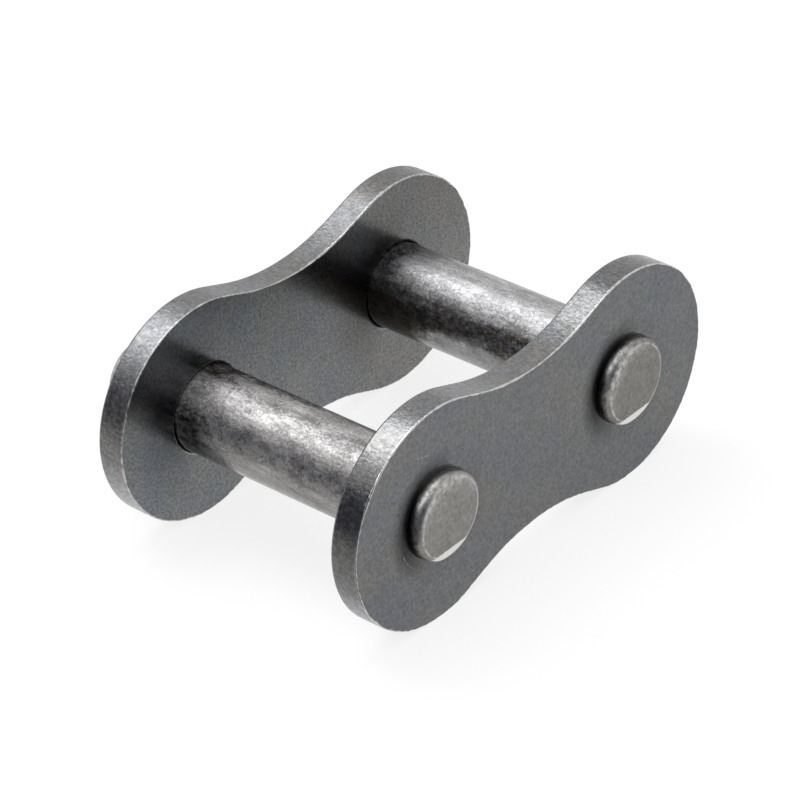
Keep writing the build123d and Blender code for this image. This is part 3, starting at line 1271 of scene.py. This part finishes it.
def shank_profile():
    """Radius and height of each ring, from the head's rounding to the tail's flat end."""
    tail_y = pin_high.y
    chamfer_y = tail_y - tail_chamfer
    end_radius = pin_radius - tail_chamfer
    flat_radius = end_radius - chamfer_support
    broken = chamfer_break + chamfer_support
    length = groove_low - groove_break - shank_start
    rows = []
    for index in range(shank_steps + 1):
        rows.append((pin_radius, shank_start + length * index / shank_steps))
    rows += [
        (pin_radius - groove_break, groove_low),
        (groove_radius + groove_break, groove_low),
        (groove_radius, groove_low + groove_break),
        (groove_radius, groove_high - groove_break),
        (groove_radius + groove_break, groove_high),
        (pin_radius - groove_break, groove_high),
        (pin_radius, groove_high + groove_break),
        (pin_radius, chamfer_y - chamfer_support),
        (pin_radius - chamfer_break, chamfer_y),
        (pin_radius - broken, chamfer_y + chamfer_support),
        (end_radius + broken, tail_y - broken),
        (end_radius + chamfer_break, tail_y - chamfer_break),
        (flat_radius, tail_y),
    ]
    for index in range(1, end_bands + 1):
        rows.append((flat_radius + (centre_radius - flat_radius) * index / end_bands, tail_y))
    return rows


print("rings from shank to tail:", len(shank_profile()))

# %% [markdown]
# ## Head of a pin
# After pressing, the head was dressed on a wheel. That leaves a flat end, a deeper rounding on
# the left and a small bevel along the lower side. So rounding, wear and the painted highlights on
# the upper left and the crown depend on the angle, and each ring of the head is worked out point
# by point. The bevel is a plane that pushes the points in front of it back onto itself, with a
# soft turn where the plane begins.

# %% Head of a pin
head_rounding = 0.62 * MM
dressed_rounding = 0.95 * MM   # width of the rounding on the left side of a head
dressed_angle = math.radians(155)
painted_highlight_angle = math.radians(128)
bevel_chord = 3.75 * MM
bevel_slope = math.tan(math.radians(14))
bevel_softness = 0.02 * MM
pin_points = 256
face_rings = 44
round_steps = 14


def rounding_at(angle):
    """Width and depth of the head's rounding, larger and deeper towards its left side."""
    towards_left = max(0.0, math.cos(angle - dressed_angle))
    width = head_rounding + (dressed_rounding - head_rounding) * towards_left**2
    return width, head_rounding + (dressed_depth - head_rounding) * towards_left**0.7


def painted_side_highlight(angle):
    """1 on the upper left of a head, where a highlight is painted as bright metal, falling off to
    both sides.
    """
    return max(0.0, math.cos(angle - painted_highlight_angle)) ** 4


def painted_crown_highlight(angle, middle):
    """Painted highlight: 1 on the crown of a head, whose middle is an angle in degrees, falling off
    beside it.
    """
    return max(0.0, math.cos(angle - math.radians(middle))) ** 1.5


def rubbed_rim(bend):
    """Nearly 1 on the thin line where the flat end turns into the rounding."""
    return 0.95 * max(0.0, 1.0 - abs(bend - 0.12) / 0.22)


def head_point(number, angle, crown_angle):
    """Radius, height, and wear with painted highlights, of one point of a head's ring, before the
    bevel is ground.
    """
    rounding, depth = rounding_at(angle)
    flat_radius = pin_radius - rounding
    crown = painted_crown_highlight(angle, crown_angle)
    if number < face_rings:
        share = number / face_rings
        return centre_radius + (flat_radius - centre_radius) * share, pin_low.y, crown * share**5
    bend = math.pi / 2 * (number - face_rings) / round_steps
    crown *= max(0.0, 1.0 - bend / 1.3)
    # The rim is real wear; the upper left and the crown are painted highlights stored as wear.
    wear = max(rubbed_rim(bend), crown, painted_side_highlight(angle) * min(1.0, bend))
    return flat_radius + rounding * math.sin(bend), pin_low.y + depth * (1 - math.cos(bend)), wear


def behind_bevel(y, z):
    """Height along Y after grinding: points in front of the bevel's plane move back to it."""
    gap = pin_low.y + (-z - bevel_chord) * bevel_slope - y
    if gap < -10 * bevel_softness:
        return y
    return y + (gap + math.sqrt(gap**2 + bevel_softness**2)) / 2


for side, angle in (("right", 0.0), ("left", dressed_angle)):
    print("rounding on the", side, [round(size / MM, 2) for size in rounding_at(angle)], "mm")

# %% [markdown]
# ## Pins
# Both pins come from one function, with the head's rings first and the plain ones after them.
# They have the same shape and differ in their place, their finishes and the side on which a
# highlight is painted on the crown of the head. The head and the flat end of the tail are ground
# steel, and everything between them is the pitted steel of the shank.

# %% Pins
def pin_piece(name, node, x, steel, head_steel, crown_angle):
    """Pin with a dressed head at -Y, its clip groove and its tail."""
    mesh = new_mesh()
    angles = [2 * math.pi * index / pin_points for index in range(pin_points)]
    rings = []
    for number in range(face_rings + round_steps + 1):
        ring = []
        for angle in angles:
            radius, y, wear = head_point(number, angle, crown_angle)
            z = radius * math.sin(angle)
            spot = (x + radius * math.cos(angle), behind_bevel(y, z), z)
            ring.append(add_vertex(mesh, spot, wear))
        rings.append(ring)
    for radius, y in shank_profile():
        ring = []
        for angle in angles:
            spot = (x + radius * math.cos(angle), y, radius * math.sin(angle))
            ring.append(add_vertex(mesh, spot))
        rings.append(ring)
    head_bands = face_rings + round_steps + 2
    shank_bands = len(rings) - 1 - head_bands - end_bands
    join_rings(mesh, rings, [1] * head_bands + [0] * shank_bands + [1] * end_bands)
    mesh.faces.new(rings[0]).material_index = 1
    mesh.faces.new(rings[-1]).material_index = 1
    return finish_piece(name, mesh, [steel, head_steel], "pinned_half", node)


pin_piece("left_pin_steel", "left_pin", -pin_x, left_steel, left_head, 100)
pin_piece("right_pin_steel", "right_pin", pin_x, right_steel, right_head, 128)

# %% [markdown]
# ## Spring steel
# The clip is a flat fork of blued spring steel, hardened and darker than the plates. It uses
# the same oxide with two deeper tones and less speckle, and it has no scuffs or grease.

# %% Clip finish
def clip_colour(tree):
    """Deep blue oxide, with bright metal where the edges are rubbed."""
    film = oxide(tree, (0.075, 0.082, 0.100), (0.092, 0.088, 0.086), 0.85, 1.15)
    return mix_colour(tree, worn(tree), film, bright_steel)


clip_steel = metal(
    "blued_spring_steel",
    clip_colour,
    lambda tree: rescale(tree, grain(tree, 0.6 * MM), 0.20, 0.30, 0.3, 0.7),
    lambda tree: [(grain(tree, 0.3 * MM, detail=2), 0.008 * MM)],
)

# %% [markdown]
# ## Sizes of the clip
# The closed round end and the two legs are a bone with a smaller bone cut out of it. At the
# open end the jaws run out from the second seat, and the mouth between them narrows to a neck
# that snaps over the groove. The seats are a little larger than the groove that they clasp.

# %% Clip sizes
clip_low, clip_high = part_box("spring_clip")
clip_radius = clip_high.z              # outside of the round ends
seat_radius = 4.05 * MM
leg_half = 6.3 * MM
slot_half = 2.8 * MM
clip_flank = 5.0 * MM
neck_half = 3.1 * MM
mouth_slope = math.radians(18)
tip_x = clip_high.x
tip_width = 2.6 * MM
tip_flare = math.radians(10)
jaw_rounding = 0.8 * MM
clip_step = 0.2 * MM
right_seat = Vector((pin_x, 0))
neck = Vector((pin_x + math.sqrt(seat_radius**2 - neck_half**2), neck_half))
tip_corner = Vector((tip_x, neck_half + (tip_x - neck.x) * math.tan(mouth_slope) + tip_width))
print("clip", round((clip_high.y - clip_low.y) / MM, 2), "mm thick, neck", 2 * neck_half / MM, "mm")

# %% [markdown]
# ## Circles that touch two sides
# The corners of jaws and neck are rounded, and each needs the centre of a small circle that
# touches its two sides. A line moved sideways by the circle's radius holds all the centres that
# touch one side. Where it meets the other side, moved in the same way, lies the one we need.

# %% Touching circles
def line_beside(point, slope, offset):
    """Start and direction of a line with this slope, moved to its left by the offset."""
    along = Vector((math.cos(slope), math.sin(slope)))
    return point + Vector((-along.y, along.x)) * offset, along


def at_circle(line, centre, reach):
    """Where a line leaves a circle."""
    start, along = line
    ahead = (centre - start).dot(along)
    miss = (start + along * ahead - centre).length
    return start + along * (ahead + math.sqrt(reach**2 - miss**2))


def at_x(line, x):
    """Where a line reaches a value of x."""
    start, along = line
    return start + along * ((x - start.x) / along.x)


def on_rounding(centre, angle):
    """Point on the jaw's rounding about a centre, in the direction of an angle."""
    return centre + Vector((math.cos(angle), math.sin(angle))) * jaw_rounding


print("helpers:", line_beside.__name__, at_circle.__name__, at_x.__name__, on_rounding.__name__)

# %% [markdown]
# ## Outline of the clip
# Only the upper half is worked out. Its outer side runs from the tip to the closed end, and
# its inner side runs back to the tip. With their mirror images they give one closed line round
# the fork.

# %% Clip outline
def clip_points():
    """Closed outline of the clip, anticlockwise from the end of its upper tip."""
    outer_above = line_beside(tip_corner, tip_flare, jaw_rounding)
    outer_below = line_beside(tip_corner, tip_flare, -jaw_rounding)
    mouth_above = line_beside(neck, mouth_slope, jaw_rounding)
    shoulder = at_circle(outer_above, right_seat, clip_radius + jaw_rounding)
    neck_centre = at_circle(mouth_above, right_seat, seat_radius + jaw_rounding)
    outer_corner = at_x(outer_below, tip_x - jaw_rounding)
    inner_corner = at_x(mouth_above, tip_x - jaw_rounding)
    shoulder_angle = math.atan2(shoulder.y, shoulder.x - pin_x)
    neck_angle = math.atan2(neck_centre.y, neck_centre.x - pin_x)
    up = math.pi / 2 + tip_flare
    down = mouth_slope - math.pi / 2
    outer_end = on_rounding(outer_corner, up)
    shoulder_foot = on_rounding(shoulder, up + math.pi)
    neck_foot = on_rounding(neck_centre, down)
    inner_start = on_rounding(inner_corner, down)
    tip_side = Vector((jaw_rounding, 0))
    fine = clip_step / 3
    full = quarter_bone(clip_radius, pin_x, leg_half, clip_flank, clip_step)
    outer = arc(outer_corner, jaw_rounding, 0, up, fine)
    outer += straight(outer_end, shoulder_foot, clip_step)
    outer += arc(shoulder, jaw_rounding, up - math.pi, shoulder_angle - math.pi, fine)
    outer += quarter_bone(clip_radius, pin_x, leg_half, clip_flank, clip_step, shoulder_angle)
    outer += mirrored_x(full)[1:]
    slot = quarter_bone(seat_radius, pin_x, slot_half, clip_flank, clip_step)
    inner = [Vector((-point.x, point.y)) for point in slot]
    inner += list(reversed(
        quarter_bone(seat_radius, pin_x, slot_half, clip_flank, clip_step, neck_angle)
    ))[1:]
    inner += arc(neck_centre, jaw_rounding, neck_angle - math.pi, down, fine)[1:]
    inner += straight(neck_foot, inner_start, clip_step)
    inner += arc(inner_corner, jaw_rounding, down, 0, fine)
    inner += straight(inner_corner + tip_side, outer_corner + tip_side, clip_step)
    return outer + mirrored_y(outer)[1:] + mirrored_y(inner) + inner[1:]


clip_outline = with_normals(clip_points())
print("points round the clip:", len(clip_outline))

# %% [markdown]
# ## Spring clip
# The edges of the clip are rounded by tumbling and shine a little where the oxide has gone.
# The same rings as on the plates make them: two rounded rims and two flat faces.

# %% Spring clip
clip_edge = 0.15 * MM
edge_wear = 0.35
rim_rows = []
for index in range(5):
    angle = math.pi / 2 * index / 4
    rim_rows.append((clip_edge * (1 - math.sin(angle)), clip_edge * (1 - math.cos(angle))))
clip_rows = [(clip_edge + support, clip_low.y, 0.0, 0)]
for inset, depth in rim_rows:
    clip_rows.append((inset, clip_low.y + depth, edge_wear, 0))
clip_rows.append((0.0, (clip_low.y + clip_high.y) / 2, 0.0, 0))
for inset, depth in reversed(rim_rows):
    clip_rows.append((inset, clip_high.y - depth, edge_wear, 0))
clip_rows.append((clip_edge + support, clip_high.y, 0.0, 0))
clip_mesh = new_mesh()
clip_rings = outline_rings(clip_mesh, clip_outline, clip_rows)
fill_flat(clip_mesh, [clip_rings[0]], 0)
fill_flat(clip_mesh, [clip_rings[-1]], 0)
finish_piece(
    "spring_clip_steel",
    clip_mesh,
    [clip_steel],
    "pinned_half",
    "spring_clip",
)

# %% [markdown]
# ## Sizes
# The dressed link must be exactly as large as the solid one. We measure both boxes and keep
# them side by side, so that they can be compared after every change.

model_low, model_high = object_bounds()
sizes = {"cad": [list(cad_low), list(cad_high)], "visual": [list(model_low), list(model_high)]}
for name, (low, high) in sizes.items():
    print(name, [round(value / MM, 3) for value in (*low, *high)])
